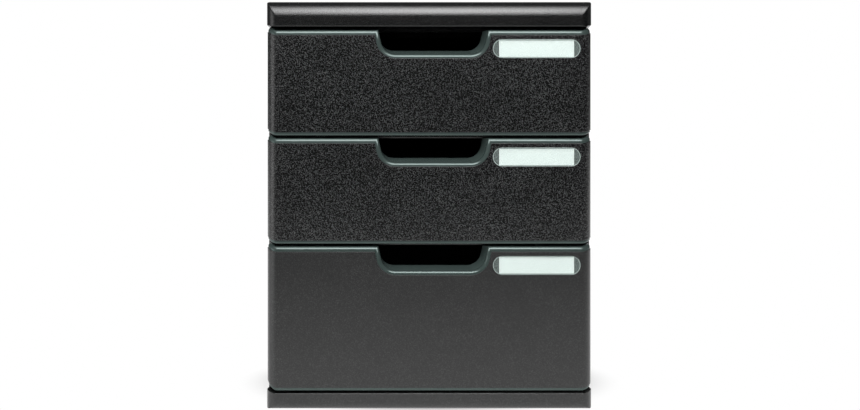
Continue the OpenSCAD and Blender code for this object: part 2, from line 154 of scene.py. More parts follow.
@dataclass(frozen=True)
class GrainedPlastic:
    """Black polystyrene from a spark-eroded mould: a dull skin of tiny pits that glints at its peaks, where
    a lighter colour paints the glints.

    The pits of the real grain are about 0.4 mm wide, too fine for the picture, so they are drawn
    at grain_mm, where the eye still reads them as a grain.
    """

    name: str
    colour: str = "060607"
    painted_glint_colour: str = "484949"
    grain_mm: float = 0.5
    depth_mm: float = 0.055
    peaks_from: float = 0.6
    cloud_mm: float = 38.0
    cloud_shade: float = 0.15
    roughness: float = 0.24
    glint: float = 0.04
    specular: float = 0.5

    def build(self) -> Material:
        """Builds the material: grain in bump, colour and roughness, under faint clouds of shade. The peaks
        also get a lighter colour, a painted glint.

        Returns:
            The material.
        """
        material, tree, place = new_material(self.name)
        cells = add_node(tree, "ShaderNodeTexVoronoi", {
            "Vector": place, "Scale": 1 / (self.grain_mm * MM)})
        cloud = add_node(tree, NOISE, {
            "Vector": place, "Scale": 1 / (self.cloud_mm * MM), "Detail": 2.0})["Fac"]
        chance = add_node(tree, "ShaderNodeSeparateXYZ", {0: cells["Color"]})[0]
        peaks = add_node(tree, MAP, {
            "Value": chance, "From Min": self.peaks_from, "From Max": 1.0,
        }, interpolation_type="SMOOTHSTEP")[0]
        shade = add_node(tree, MAP, {
            "Value": cloud, "From Min": 0.3, "From Max": 0.7,
            "To Min": 1 - self.cloud_shade, "To Max": 1 + self.cloud_shade})[0]
        # The peaks get a lighter colour: a painted glint, on top of their lower roughness.
        skin = add_node(tree, "ShaderNodeMix", {
            0: peaks, 6: linear_rgb(self.colour), 7: linear_rgb(self.painted_glint_colour)}, data_type="RGBA")
        coloured = add_node(tree, "ShaderNodeVectorMath", {
            0: skin[2], "Scale": shade}, operation="SCALE")[0]
        rough = add_node(tree, MAP, {
            "Value": peaks, "To Min": self.roughness, "To Max": self.roughness - self.glint})[0]
        bump = add_node(tree, "ShaderNodeBump", {
            "Height": cells["Distance"], "Distance": self.depth_mm * MM, "Strength": 1.0})[0]
        return close_material(material, {
            "Base Color": coloured, "Roughness": rough, "Normal": bump,
            "IOR": 1.59, "Specular IOR Level": self.specular})


@dataclass(frozen=True)
class PolishedPlastic:
    """Black polystyrene from a polished mould: wet shine, faint haze and dust; its grey-green is partly
    painted sheen.
    """

    name: str
    # A grey-green far lighter than black: partly the moulding's own tone, partly painted sheen of the
    # studio.
    colour: str = "323c3a"
    haze_colour: str = "394341"
    shine_colour: str = "e2f5f1"
    haze_mm: float = 6.0
    haze_rough: Point2 = (-0.05, 0.08)
    wave_mm: float = 9.0
    wave_depth_mm: float = 0.05
    roughness: float = 0.18
    specular: float = 0.5

    def build(self) -> Material:
        """Builds the material: slow waviness in the normal, and haze in colour and roughness.

        Returns:
            The material.
        """
        material, tree, place = new_material(self.name)
        haze = add_node(tree, NOISE, {
            "Vector": place, "Scale": 1 / (self.haze_mm * MM), "Detail": 4.0, "Roughness": 0.6})["Fac"]
        wave = add_node(tree, NOISE, {
            "Vector": place, "Scale": 1 / (self.wave_mm * MM), "Detail": 1.0})["Fac"]
        rough = add_node(tree, MAP, {
            "Value": haze, "To Min": self.roughness + self.haze_rough[0],
            "To Max": self.roughness + self.haze_rough[1]})[0]
        bump = add_node(tree, "ShaderNodeBump", {
            "Height": wave, "Distance": self.wave_depth_mm * MM, "Strength": 0.25})[0]
        skin = add_node(tree, "ShaderNodeMix", {
            0: haze, 6: linear_rgb(self.colour), 7: linear_rgb(self.haze_colour)}, data_type="RGBA")
        return close_material(material, {
            "Base Color": skin[2], "Roughness": rough, "Normal": bump, "IOR": 1.59,
            "Specular IOR Level": self.specular, "Specular Tint": linear_rgb(self.shine_colour)})


@dataclass(frozen=True)
class ClearPlastic:
    """Clear crystal polystyrene, thin and glossy: it greys what lies under it a little."""

    name: str
    colour: str = "c2cfcb"
    alpha: float = 0.16
    streak_mm: float = 5.0

    def build(self) -> Material:
        """Builds the material: a see-through gloss with faint moulding streaks in its roughness.

        Returns:
            The material.
        """
        material, tree, place = new_material(self.name)
        streak = add_node(tree, NOISE, {
            "Vector": place, "Scale": 1 / (self.streak_mm * MM), "Detail": 2.0})["Fac"]
        rough = add_node(tree, MAP, {"Value": streak, "To Min": 0.04, "To Max": 0.12})[0]
        return close_material(material, {
            "Base Color": linear_rgb(self.colour), "Roughness": rough, "Alpha": self.alpha, "IOR": 1.57})


@dataclass(frozen=True)
class CardPaper:
    """Uncoated white card: flat and soft, with a cool cast and a trace of fibre."""

    name: str
    colour: str = "eef7f4"
    shade: str = "e6f0ed"
    fibre_mm: float = 1.2
    fibre_depth_mm: float = 0.02

    def build(self) -> Material:
        """Builds the material: fibre clouds in colour and a slight fibre bump.

        Returns:
            The material.
        """
        material, tree, place = new_material(self.name)
        fibre = add_node(tree, NOISE, {
            "Vector": place, "Scale": 1 / (self.fibre_mm * MM), "Detail": 4.0, "Roughness": 0.7})["Fac"]
        bump = add_node(tree, "ShaderNodeBump", {
            "Height": fibre, "Distance": self.fibre_depth_mm * MM, "Strength": 0.4})[0]
        skin = add_node(tree, "ShaderNodeMix", {
            0: fibre, 6: linear_rgb(self.colour), 7: linear_rgb(self.shade)}, data_type="RGBA")
        return close_material(material, {
            "Base Color": skin[2], "Roughness": 0.9, "Normal": bump, "Specular IOR Level": 0.2})


@dataclass(frozen=True)
class FootRubber:
    """Moulded black rubber: dull, with a dusty bloom."""

    name: str
    colour: str = "1a1a1a"
    bloom_colour: str = "2c2b2a"
    bloom_mm: float = 3.0

    def build(self) -> Material:
        """Builds the material: a bloom in colour over a rough skin.

        Returns:
            The material.
        """
        material, tree, place = new_material(self.name)
        bloom = add_node(tree, NOISE, {
            "Vector": place, "Scale": 1 / (self.bloom_mm * MM), "Detail": 3.0})["Fac"]
        skin = add_node(tree, "ShaderNodeMix", {
            0: bloom, 6: linear_rgb(self.colour), 7: linear_rgb(self.bloom_colour)}, data_type="RGBA")
        return close_material(material, {
            "Base Color": skin[2], "Roughness": 0.85, "Specular IOR Level": 0.25})


# ---- Meshes ----


def new_piece(name: str, verts: Sequence[Sequence[float]], faces: Sequence[Sequence[int]]) -> Object:
    """Makes an object at the origin.

    Args:
        name: Its name.
        verts: Vertex places.
        faces: Vertex numbers of each face.

    Returns:
        The object, linked to the scene.
    """
    mesh = bpy.data.meshes.new(name)
    mesh.from_pydata([tuple(v) for v in verts], [], [tuple(f) for f in faces])
    piece = bpy.data.objects.new(name, mesh)
    bpy.context.scene.collection.objects.link(piece)
    return piece


def bake_modifiers(piece: Object) -> None:
    """Turns what a piece's modifiers make into its plain mesh.

    Args:
        piece: The object, which keeps its name and loses its modifiers.
    """
    depsgraph = bpy.context.evaluated_depsgraph_get()
    made = bpy.data.meshes.new_from_object(
        piece.evaluated_get(depsgraph), preserve_all_data_layers=True, depsgraph=depsgraph)
    piece.modifiers.clear()
    old = piece.data
    piece.data = made
    made.name = piece.name
    if old.users == 0:
        bpy.data.meshes.remove(old)


def dress(name: str, lists: Lists, material: Material, body: str,
          node: str | None = None, smooth_degrees: float = 35.0) -> Object:
    """Args:
        name: The piece's name.
        lists: Its vertices and faces.
        material: Its finish.
        body: The body that it moves with.
        node: The CAD node that it replaces, if any.
        smooth_degrees: Edges sharper than this stay crisp.

    Returns:
        The piece.
    """
    piece = new_piece(name, *lists)
    piece.data.materials.append(material)
    piece.data.shade_smooth()
    piece.data.set_sharp_from_angle(angle=math.radians(smooth_degrees))
    even = piece.modifiers.new("even_normals", "WEIGHTED_NORMAL")
    even.mode = "FACE_AREA"
    even.weight = 80
    even.keep_sharp = True
    bake_modifiers(piece)
    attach(piece, body)
    if node:
        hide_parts(node)
    return piece


def rounded(radius: float, past: float) -> float:
    """Tells how far a rounded edge lies in, at a distance past the start of its rounding."""
    return radius - math.sqrt(max(0.0, radius ** 2 - max(0.0, past) ** 2))


def arc(centre: Point2, radius: float, start: float, end: float, steps: int) -> list[Point2]:
    """Gives points on an arc.

    Args:
        centre: The arc's centre.
        radius: Its radius.
        start: First angle in degrees, from the first axis towards the second.
        end: Last angle in degrees.
        steps: Number of equal steps between them.

    Returns:
        The points, both ends included.
    """
    angles = [math.radians(start + (end - start) * k / steps) for k in range(steps + 1)]
    return [(centre[0] + radius * math.cos(a), centre[1] + radius * math.sin(a)) for a in angles]


def move_in(loop: Sequence[Point2], amounts: Sequence[float]) -> list[Point2]:
    """Moves each edge of a closed anticlockwise loop inwards.

    Args:
        loop: The loop's points.
        amounts: How far the edge that starts at each point moves into the loop.

    Returns:
        As many points as the loop has.
    """
    moved = []
    for k, point in enumerate(loop):
        before = Vector(point) - Vector(loop[k - 1])
        after = Vector(loop[(k + 1) % len(loop)]) - Vector(point)
        first = Vector((-before.y, before.x)).normalized()
        second = Vector((-after.y, after.x)).normalized()
        near, far = amounts[k - 1], amounts[k]
        turn = first.cross(second)
        if abs(turn) < 0.3:
            middle = (first + second).normalized()
            shift = middle * ((near + far) / 2 / middle.dot(first))
        else:
            shift = Vector((near * second.y - far * first.y, far * first.x - near * second.x)) / turn
        moved.append((point[0] + shift.x, point[1] + shift.y))
    return moved


def mesh_lists(mesh: BMesh) -> Lists:
    """Copies a mesh's vertices and faces to plain lists, and frees it.

    Args:
        mesh: The mesh.

    Returns:
        Its vertices and faces.
    """
    mesh.verts.index_update()
    lists = [v.co.copy() for v in mesh.verts], [[v.index for v in f.verts] for f in mesh.faces]
    mesh.free()
    return lists


def closed_lists(verts: Sequence[Sequence[float]], faces: Sequence[Sequence[int]]) -> Lists:
    """Welds a closed shell and turns its faces outwards.

    Args:
        verts: Vertex places.
        faces: Vertex numbers of each face.

    Returns:
        Clean vertices and faces.
    """
    mesh = bmesh.new()
    made = [mesh.verts.new(v) for v in verts]
    for face in faces:
        mesh.faces.new([made[n] for n in face])
    bmesh.ops.remove_doubles(mesh, verts=mesh.verts, dist=1e-6)
    bmesh.ops.recalc_face_normals(mesh, faces=mesh.faces)
    return mesh_lists(mesh)


def join_shells(shells: Sequence[Lists]) -> Lists:
    """Puts several closed shells in one list of vertices and faces.

    Args:
        shells: Vertices and faces of each shell.

    Returns:
        The joined vertices and faces.
    """
    verts: list = []
    faces: list = []
    for shell_verts, shell_faces in shells:
        faces += [[len(verts) + n for n in face] for face in shell_faces]
        verts += shell_verts
    return verts, faces


def loft(rings: Sequence[Sequence[Sequence[float]]]) -> Lists:
    """Joins rings of equally many points by walls, and closes the first and the last with a flat face.

    Args:
        rings: The rings, in order along the shell.

    Returns:
        Vertices and faces of the closed shell.
    """
    count = len(rings[0])
    faces = [
        [k * count + j, k * count + (j + 1) % count, (k + 1) * count + (j + 1) % count, (k + 1) * count + j]
        for k in range(len(rings) - 1) for j in range(count)
    ]
    last = (len(rings) - 1) * count
    faces += [list(range(count)), [last + j for j in range(count)]]
    return closed_lists([v for ring in rings for v in ring], faces)


def lathe(profile: Sequence[Point2], centre: Point2, steps: int = 48) -> Lists:
    """Turns an outline round an upright axis.

    Args:
        profile: Distance from the axis and height of each point. Ends on the axis close the shell.
        centre: Where the axis stands.
        steps: Number of steps of the turn.

    Returns:
        Vertices and faces of the closed shell.
    """
    turns = [math.tau * k / steps for k in range(steps)]
    return loft([
        [(centre[0] + radius * math.cos(a), centre[1] + radius * math.sin(a), z) for a in turns]
        for radius, z in profile
    ])


@dataclass
class Plate:
    """A flat plate with rounded front edges, a plain back and round holes of any outline.

    It lies in a flat sheet: first axis along the face, second axis the depth behind the face, third
    axis up. Loops run anticlockwise as the face is seen, holes too. The rounding of an edge may be
    larger than the plate is thick, and then a thick rim runs along that edge.
    """

    outline: Sequence[Point2]
    front: float
    back: float
    rounding: float | Sequence[float]
    holes: Sequence[Sequence[Point2]] = ()
    hole_rounding: float = 0.0
    steps: int = 4
    rim_w: float = 2.4 * MM
    mesh: BMesh = field(default_factory=bmesh.new)

    def ring(self, loop: Sequence[Point2], depths: Sequence[float]) -> list[BMVert]:
        """Adds one ring of vertices, each at its own depth behind the face."""
        return [self.mesh.verts.new((p[0], deep, p[1])) for p, deep in zip(loop, depths)]

    def rings(self, loop: Sequence[Point2], radii: Sequence[float], side: float) -> list[list[BMVert]]:
        """Makes the rings of vertices of one edge, from the face round to the back.

        Args:
            loop: The edge's outline.
            radii: The rounding of the edge that starts at each of its points.
            side: 1 on the outer edge, -1 round a hole.

        Returns:
            The rings, the one on the face first.
        """
        pairs = [(radii[k - 1], radius) for k, radius in enumerate(radii)]
        at_point = [max(pair) if min(pair) == 0 else sum(pair) / 2 for pair in pairs]
        made = []
        for k in range(self.steps + 1):
            turn = math.pi / 2 * k / self.steps
            inner = move_in(loop, [side * r * (1 - math.sin(turn)) for r in radii])
            made.append(self.ring(inner, [self.front + r * (1 - math.cos(turn)) for r in at_point]))
        thick = self.back - self.front
        inner = move_in(loop, [side * self.rim_w if r > thick else 0.0 for r in radii])
        made.append(self.ring(inner, [self.front + max(thick, r) for r in at_point]))
        made.append(self.ring(inner, [self.back] * len(inner)))
        return made

    def build(self) -> BMesh:
        """Builds the closed plate, still flat.

        Returns:
            Its mesh.
        """
        radii = [self.rounding] * len(self.outline) if isinstance(self.rounding, float) else self.rounding
        edges = [self.rings(self.outline, radii, 1)]
        edges += [self.rings(hole, [self.hole_rounding] * len(hole), -1) for hole in self.holes]
        for rings in edges:
            for near, far in zip(rings, rings[1:]):
                for k in range(len(near)):
                    n = (k + 1) % len(near)
                    self.mesh.faces.new((near[k], near[n], far[n], far[k]))
        for place in (0, -1):
            loops = [rings[place] for rings in edges]
            rim = [self.mesh.edges.get((loop[k - 1], loop[k])) for loop in loops for k in range(len(loop))]
            bmesh.ops.triangle_fill(self.mesh, use_beauty=True, edges=rim)
        bmesh.ops.remove_doubles(self.mesh, verts=self.mesh.verts, dist=1e-6)
        bmesh.ops.recalc_face_normals(self.mesh, faces=self.mesh.faces)
        return self.mesh


# ---- Geometry Nodes ----


class Recipe:
    """A Geometry Nodes tree with named inputs: it turns a piece's mesh into a finished form."""

    def __init__(self, name: str, sizes: Sequence[str]) -> None:
        """Starts the tree.

        Args:
            name: What the tree makes.
            sizes: Names of its number inputs.
        """
        self.tree = bpy.data.node_groups.new(name, "GeometryNodeTree")
        face = self.tree.interface
        kinds = {"Geometry": "Geometry", "Finish": "Material", **dict.fromkeys(sizes, "Float")}
        for label, kind in kinds.items():
            face.new_socket(label, in_out="INPUT", socket_type=f"NodeSocket{kind}")
        face.new_socket("Geometry", in_out="OUTPUT", socket_type="NodeSocketGeometry")
        self.known = {socket.name: socket for socket in add_node(self.tree, "NodeGroupInput")}

    def feeds(self, values: Sequence[str | float]) -> dict:
        """Gives what feeds a node's inputs in order, from numbers and names of earlier results."""
        return {k: self.known.get(value, value) for k, value in enumerate(values)}

    def close(self, geometry: NodeSocket) -> Recipe:
        """Ends the tree: what it made becomes plain mesh and gets its finish.

        Args:
            geometry: The socket of what was made.

        Returns:
            The recipe itself.
        """
        real = add_node(self.tree, "GeometryNodeRealizeInstances", {"Geometry": geometry})[0]
        dressed = add_node(self.tree, "GeometryNodeSetMaterial", {
            "Geometry": real, "Material": self.known["Finish"]})[0]
        add_node(self.tree, "NodeGroupOutput", {"Geometry": dressed})
        return self

    def run(self, finish: Material, sizes: dict[str, float], verts: Sequence = (), edges: Sequence = (),
            faces: Sequence = ()) -> Lists:
        """Runs the tree on a mesh.

        Args:
            finish: The material that the form gets.
            sizes: The value of each number input.
            verts: Vertex places of the mesh that goes in.
            edges: Its loose edges.
            faces: Its faces.

        Returns:
            Vertices and faces of the form.
        """
        piece = new_piece(self.tree.name, (), ())
        piece.data.from_pydata([tuple(v) for v in verts], list(edges), [tuple(f) for f in faces])
        modifier = piece.modifiers.new("recipe", "NODES")
        modifier.node_group = self.tree
        for item in self.tree.interface.items_tree:
            if item.in_out == "INPUT" and item.name in sizes:
                modifier[item.identifier] = float(sizes[item.name])
            elif item.in_out == "INPUT" and item.name == "Finish":
                modifier[item.identifier] = finish
        bake_modifiers(piece)
        made = piece.data
        lists = [v.co.copy() for v in made.vertices], [list(f.vertices) for f in made.polygons]
        bpy.data.objects.remove(piece)
        bpy.data.meshes.remove(made)
        return lists


def rib_recipe() -> Recipe:
    """Makes the tree of a rib grid, two sets of crossing upright ribs. It needs no mesh to start from.

    Returns:
        The recipe.
    """
    recipe = Recipe("rib grid", ("Half", "Front", "Back", "Low", "High", "Thick", "Across", "Along"))
    tree, known = recipe.tree, recipe.known
    for name, operation, *values in (
        ("tall", "SUBTRACT", "High", "Low"), ("levels", "ADD", "High", "Low"),
        ("level", "MULTIPLY", "levels", 0.5), ("deep", "SUBTRACT", "Back", "Front"),
        ("ends", "ADD", "Back", "Front"), ("middle", "MULTIPLY", "ends", 0.5),
        ("wide", "MULTIPLY", "Half", 2.0), ("left", "MULTIPLY", "Half", -1.0),
        ("rows", "ADD", "Across", 1.0), ("row pitch", "DIVIDE", "deep", "rows"),
        ("first row", "ADD", "Front", "row pitch"), ("columns", "ADD", "Along", 1.0),
        ("column pitch", "DIVIDE", "wide", "columns"), ("first column", "ADD", "left", "column pitch"),
    ):
        known[name] = add_node(tree, MATH, recipe.feeds(values), operation=operation)[0]
    sets = []
    for count, *places in (
        ("Across", (0.0, "first row", "level"), (0.0, "row pitch"), ("wide", "Thick", "tall")),
        ("Along", ("first column", "middle", "level"), ("column pitch",), ("Thick", "deep", "tall")),
    ):
        start, step, size = [
            add_node(tree, "ShaderNodeCombineXYZ", recipe.feeds(place))[0] for place in places
        ]
        line = add_node(tree, "GeometryNodeMeshLine", {
            "Count": known[count], "Start Location": start, "Offset": step}, mode="OFFSET")[0]
        rib = add_node(tree, "GeometryNodeMeshCube", {"Size": size})["Mesh"]
        sets.append(add_node(tree, "GeometryNodeInstanceOnPoints", {"Points": line, "Instance": rib})[0])
    return recipe.close(add_node(tree, "GeometryNodeJoinGeometry", {0: sets})[0])


def post_recipe() -> Recipe:
    """Makes the tree of round posts that stand on the points of its mesh, each with a peg under it.

    Returns:
        The recipe.
    """
    recipe = Recipe("posts with pegs", ("Post Radius", "Post Height", "Peg Radius", "Peg Height"))
    tree, known = recipe.tree, recipe.known
    rods = []
    for part, way in (("Post", 0.5), ("Peg", -0.5)):
        height = known[f"{part} Height"]
        rod = add_node(tree, "GeometryNodeMeshCylinder", {
            "Vertices": 32, "Radius": known[f"{part} Radius"], "Depth": height})["Mesh"]
        rise = add_node(tree, MATH, {0: height, 1: way}, operation="MULTIPLY")[0]
        up = add_node(tree, "ShaderNodeCombineXYZ", {2: rise})[0]
        rods.append(add_node(tree, "GeometryNodeTransform", {"Geometry": rod, "Translation": up})[0])
    post = add_node(tree, "GeometryNodeJoinGeometry", {0: rods})[0]
    return recipe.close(add_node(tree, "GeometryNodeInstanceOnPoints", {
        "Points": known["Geometry"], "Instance": post})[0])


def bead_recipe() -> Recipe:
    """Makes the tree of a round bead that follows the closed line of its mesh.

    Returns:
        The recipe.
    """
    recipe = Recipe("bead along a line", ("Radius",))
    line = add_node(recipe.tree, "GeometryNodeMeshToCurve", {"Mesh": recipe.known["Geometry"]})[0]
    section = add_node(recipe.tree, "GeometryNodeCurvePrimitiveCircle", {
        "Resolution": 10, "Radius": recipe.known["Radius"]}, mode="RADIUS")[0]
    return recipe.close(add_node(recipe.tree, "GeometryNodeCurveToMesh", {
        "Curve": line, "Profile Curve": section})[0])


def wrap_recipe() -> Recipe:
    """Makes the tree that bends a flat sheet round two upright corners, and lifts its ends.

    The sheet's first axis runs along the face, its second is the depth behind the face, and its
    third is the height. Edges rise towards the corners by the lifts, as they do on the real fronts.

    Returns:
        The recipe. Its mesh is the flat sheet.
    """
    recipe = Recipe("sheet bent round corners", (
        "Flat", "Corner Radius", "Face", "Low", "Top", "Lift Top Left", "Lift Top Right",
        "Lift Low Left", "Lift Low Right",
    ))
    tree, known = recipe.tree, recipe.known
    place = add_node(tree, "GeometryNodeInputPosition")[0]
    sheet = add_node(tree, "ShaderNodeSeparateXYZ", {0: place})
    known.update(zip(("along", "behind", "up"), sheet))
    for name, operation, *values in (
        ("reach", "ABSOLUTE", "along"), ("sign", "SIGN", "along"),
        # How far the sheet has gone round its corner, as an angle, and how far it runs on past it.
        ("quarter", "MULTIPLY", "Corner Radius", math.pi / 2), ("past flat", "SUBTRACT", "reach", "Flat"),
        ("bent", "MAXIMUM", "past flat", 0.0), ("on corner", "MINIMUM", "bent", "quarter"),
        ("turn", "DIVIDE", "on corner", "Corner Radius"), ("rest", "SUBTRACT", "bent", "on corner"),
        ("sine", "SINE", "turn"), ("cosine", "COSINE", "turn"),
        ("radius", "SUBTRACT", "Corner Radius", "behind"), ("level", "MINIMUM", "reach", "Flat"),
        ("out", "MULTIPLY_ADD", "radius", "sine", "level"), ("across", "MULTIPLY", "out", "sign"),
        ("centre", "ADD", "Face", "Corner Radius"), ("bow", "MULTIPLY", "radius", "cosine"),
        ("front", "SUBTRACT", "centre", "bow"), ("deep", "ADD", "front", "rest"),
        # The lift at this side and height, of which the corner gives a share.
        ("side", "MULTIPLY_ADD", "sign", 0.5, 0.5),
        ("low step", "SUBTRACT", "Lift Low Right", "Lift Low Left"),
        ("low lift", "MULTIPLY_ADD", "side", "low step", "Lift Low Left"),
        ("top step", "SUBTRACT", "Lift Top Right", "Lift Top Left"),
        ("top lift", "MULTIPLY_ADD", "side", "top step", "Lift Top Left"),
        ("tall", "SUBTRACT", "Top", "Low"), ("above", "SUBTRACT", "up", "Low"),
        ("part", "DIVIDE", "above", "tall"), ("lift step", "SUBTRACT", "top lift", "low lift"),
        ("lift", "MULTIPLY_ADD", "part", "lift step", "low lift"),
        ("share", "MULTIPLY", "sine", "sine"), ("high", "MULTIPLY_ADD", "lift", "share", "up"),
    ):
        known[name] = add_node(tree, MATH, recipe.feeds(values), operation=operation)[0]
    folded = add_node(tree, "ShaderNodeCombineXYZ", recipe.feeds(("across", "deep", "high")))[0]
    return recipe.close(add_node(tree, "GeometryNodeSetPosition", {
        "Geometry": known["Geometry"], "Position": folded})[0])


# ---- Sub-assemblies ----


@dataclass
class DrawerFront:
    """One drawer front: a smooth shell with a notch lip and flanges, and the grained field on it."""

    level: Level
    grained: Material
    polished: Material
    bend: Recipe
    half: float = 143.5 * MM
    depth: float = 13 * MM
    wall: float = 2.5 * MM
    corner_r: float = 9.5 * MM
    corner_steps: int = 16
    lift_top: Point2 = (3.8 * MM, 2.8 * MM)
    lift_low: Point2 = (3.8 * MM, 2.8 * MM)
    field_raise: float = 0.6 * MM
    field_lap: float = 0.1 * MM
    field_round: float = 0.3 * MM
    field_corner_r: float = 0.9 * MM
    field_corner_steps: int = 8
    top_border: float = 5.0 * MM
    low_border: float = 2.7 * MM
    top_r: float = 4.1 * MM
    low_r: float = 1.4 * MM
    notch_r_front: float = 3.3 * MM
    notch_x: float = 3.5 * MM
    notch_w: float = 96.6 * MM
    notch_h: float = 21.5 * MM
    notch_r: float = 13 * MM
    notch_steps: int = 14
    notch_lean: float = math.radians(12)
    notch_border: float = 4 * MM
    lip_t: float = 2 * MM
    lip_sink: float = 0.8 * MM
    lip_end_r: float = 0.7 * MM
    lip_draft: float = 6.5 * MM
    left_draft: float = 1.0 * MM
    overlap: float = 0.3 * MM
    tuck: float = 0.2 * MM
    ledge_gap: float = 1.2 * MM
    ledge_steps: int = 12
    label_inset: float = 10.2 * MM
    label_drop: float = 17 * MM
    label_w: float = 77.4 * MM
    label_h: float = 16.6 * MM
    label_steps: int = 20
    floor_lap: float = 0.1 * MM
    window_gap: float = 0.2 * MM
    window_t: float = 1.4 * MM
    hook_inset: float = 38.5 * MM
    hook_w: float = 10 * MM
    hook_t: float = 1.6 * MM
    hook_l: float = 5.5 * MM
    hook_root: float = 0.6 * MM
    barb_l: float = 3 * MM
    barb_h: float = 1 * MM
    hook_low: float = 20 * MM
    hook_high: float = 34 * MM

    def __post_init__(self) -> None:
        """Reads the front's place from the frame."""
        self.node = f"front_{self.level.value}"
        self.body = f"drawer_{self.level.value}"
        low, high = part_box(self.node)
        self.face_y, self.low_z, self.top_z = low[1], low[2], high[2]
        self.back_y = self.face_y + self.depth
        self.flat = self.half - self.corner_r
        self.turn_end = self.flat + self.corner_r * math.pi / 2
        self.sheet_half = self.turn_end + self.depth - self.corner_r
        self.label_x = self.half - self.label_inset - self.label_w / 2 + self.window_gap
        self.label_z = self.top_z - self.label_drop

    def wrapped(self, plate: Plate) -> Lists:
        """Cuts a plate into strips at the corners and bends it round them.

        Args:
            plate: The flat plate.

        Returns:
            Vertices and faces in the frame.
        """
        mesh = plate.build()
        for side in (-1, 1):
            for k in range(self.corner_steps + 1):
                cut = self.flat + (self.turn_end - self.flat) * k / self.corner_steps
                bmesh.ops.bisect_plane(
                    mesh, geom=mesh.verts[:] + mesh.edges[:] + mesh.faces[:], dist=1e-7,
                    plane_co=(side * cut, 0, 0), plane_no=(1, 0, 0))
        verts, faces = mesh_lists(mesh)
        return self.bend.run(self.polished, {
            "Flat": self.flat, "Corner Radius": self.corner_r, "Face": self.face_y,
            "Low": self.low_z, "Top": self.top_z,
            "Lift Top Left": self.lift_top[0], "Lift Top Right": self.lift_top[1],
            "Lift Low Left": self.lift_low[0], "Lift Low Right": self.lift_low[1],
        }, verts, faces=faces)

    def notch_path(self, grow: float, top: float, draft: float = 0.0) -> list[Point2]:
        """Gives the notch's outline from its right end to its left one.

        Args:
            grow: How far the outline is moved outwards.
            top: Height of both ends.
            draft: How far it closes in with its corners as round as they are at the face.

        Returns:
            Points of the sides, the round lower corners and the bottom.
        """
        lean = self.notch_lean
        arc_x = self.notch_w / 2 - (self.notch_h - self.notch_r) * math.tan(lean)
        arc_x -= (self.notch_r + draft * (1 - math.sin(lean))) / math.cos(lean)
        arc_z = self.top_z - self.notch_h + self.notch_r + draft
        right = arc((arc_x, arc_z), self.notch_r + grow, -math.degrees(lean), -90, self.notch_steps)
        right.insert(0, (right[0][0] + (top - right[0][1]) * math.tan(lean), top))
        left = [(-x, z) for x, z in reversed(right)]
        return [(self.notch_x + x, z) for x, z in right + left]

    def pocket(self, grow: float = 0.0) -> list[Point2]:
        """Gives the outline of the label pocket, a long shape with round ends.

        Args:
            grow: How far it is moved outwards.

        Returns:
            Its points, anticlockwise.
        """
        radius = self.label_h / 2 + grow
        reach = (self.label_w - self.label_h) / 2
        right = arc((self.label_x + reach, self.label_z), radius, -90, 90, self.label_steps)
        return right + arc((self.label_x - reach, self.label_z), radius, 90, 270, self.label_steps)

    def shell_plate(self) -> Plate:
        """Gives the flat sheet of the smooth shell, rounded widely along its top and round the notch.

        Returns:
            The plate.
        """
        half = self.sheet_half
        notch = self.notch_path(0, self.top_z)
        outline = [(-half, self.low_z), (half, self.low_z), (half, self.top_z), *notch, (-half, self.top_z)]
        radii = [self.low_r, 0.0, self.top_r, *[self.notch_r_front] * (len(notch) - 1), self.top_r, 0.0]
        return Plate(outline, self.field_raise, self.wall, radii, [self.pocket()], 0.0, steps=8)

    def field_plate(self) -> Plate:
        """Gives the flat sheet of the grained field, which runs on round the corners.

        Returns:
            The plate.
        """
        low, top, end = self.low_z + self.low_border, self.top_z - self.top_border, self.sheet_half
        lean, radius = self.notch_lean, self.field_corner_r
        notch = self.notch_path(self.notch_border, top)
        centre_x = notch[0][0] - self.notch_x - radius * math.tan(lean) + radius / math.cos(lean)
        corner = arc((centre_x, top - radius), radius, 90, 180 - math.degrees(lean), self.field_corner_steps)
        right = [(self.notch_x + x, z) for x, z in corner]
        left = [(self.notch_x - x, z) for x, z in reversed(corner)]
        outline = [(-end, low), (end, low), (end, top), *right, *notch[1:-1], *left, (-end, top)]
        back = self.field_raise + self.field_lap
        return Plate(outline, 0.0, back, self.field_round, [self.pocket()], self.field_round, steps=3)

    def lip(self) -> Lists:
        """Builds the lip that runs back from the notch and closes in, less at the left than elsewhere.

        Returns:
            Vertices and faces.
        """
        start, end_r = self.field_raise + self.notch_r_front, self.lip_end_r
        run = self.depth - end_r - start
        full = self.lip_draft / self.depth * run
        profile = [(self.lip_sink, start + self.overlap, 0.0)]
        profile += [(0.0, start + run * k / 4, full * k / 4) for k in range(5)]
        profile += [(end_r * (1 - math.cos(a)), self.depth - end_r * (1 - math.sin(a)), full)
                    for a in (math.pi / 6, math.pi / 3, math.pi / 2)]
        profile += [(self.lip_t, self.depth, full), (self.lip_t, self.wall - self.tuck, 0.0)]
        rings = []
        for grow, deep, draft in profile:
            steeper = (self.lip_draft - self.left_draft) * max(0.0, deep - start) / (self.depth - start)
            top = self.top_z - rounded(self.top_r, min(self.top_r, self.field_raise + self.top_r - deep))
            rings.append([
                (x - (steeper if x < self.notch_x else 0.0), self.face_y + deep, z)
                for x, z in self.notch_path(grow, top, draft)
            ])
        return loft([list(ring) for ring in zip(*rings)])

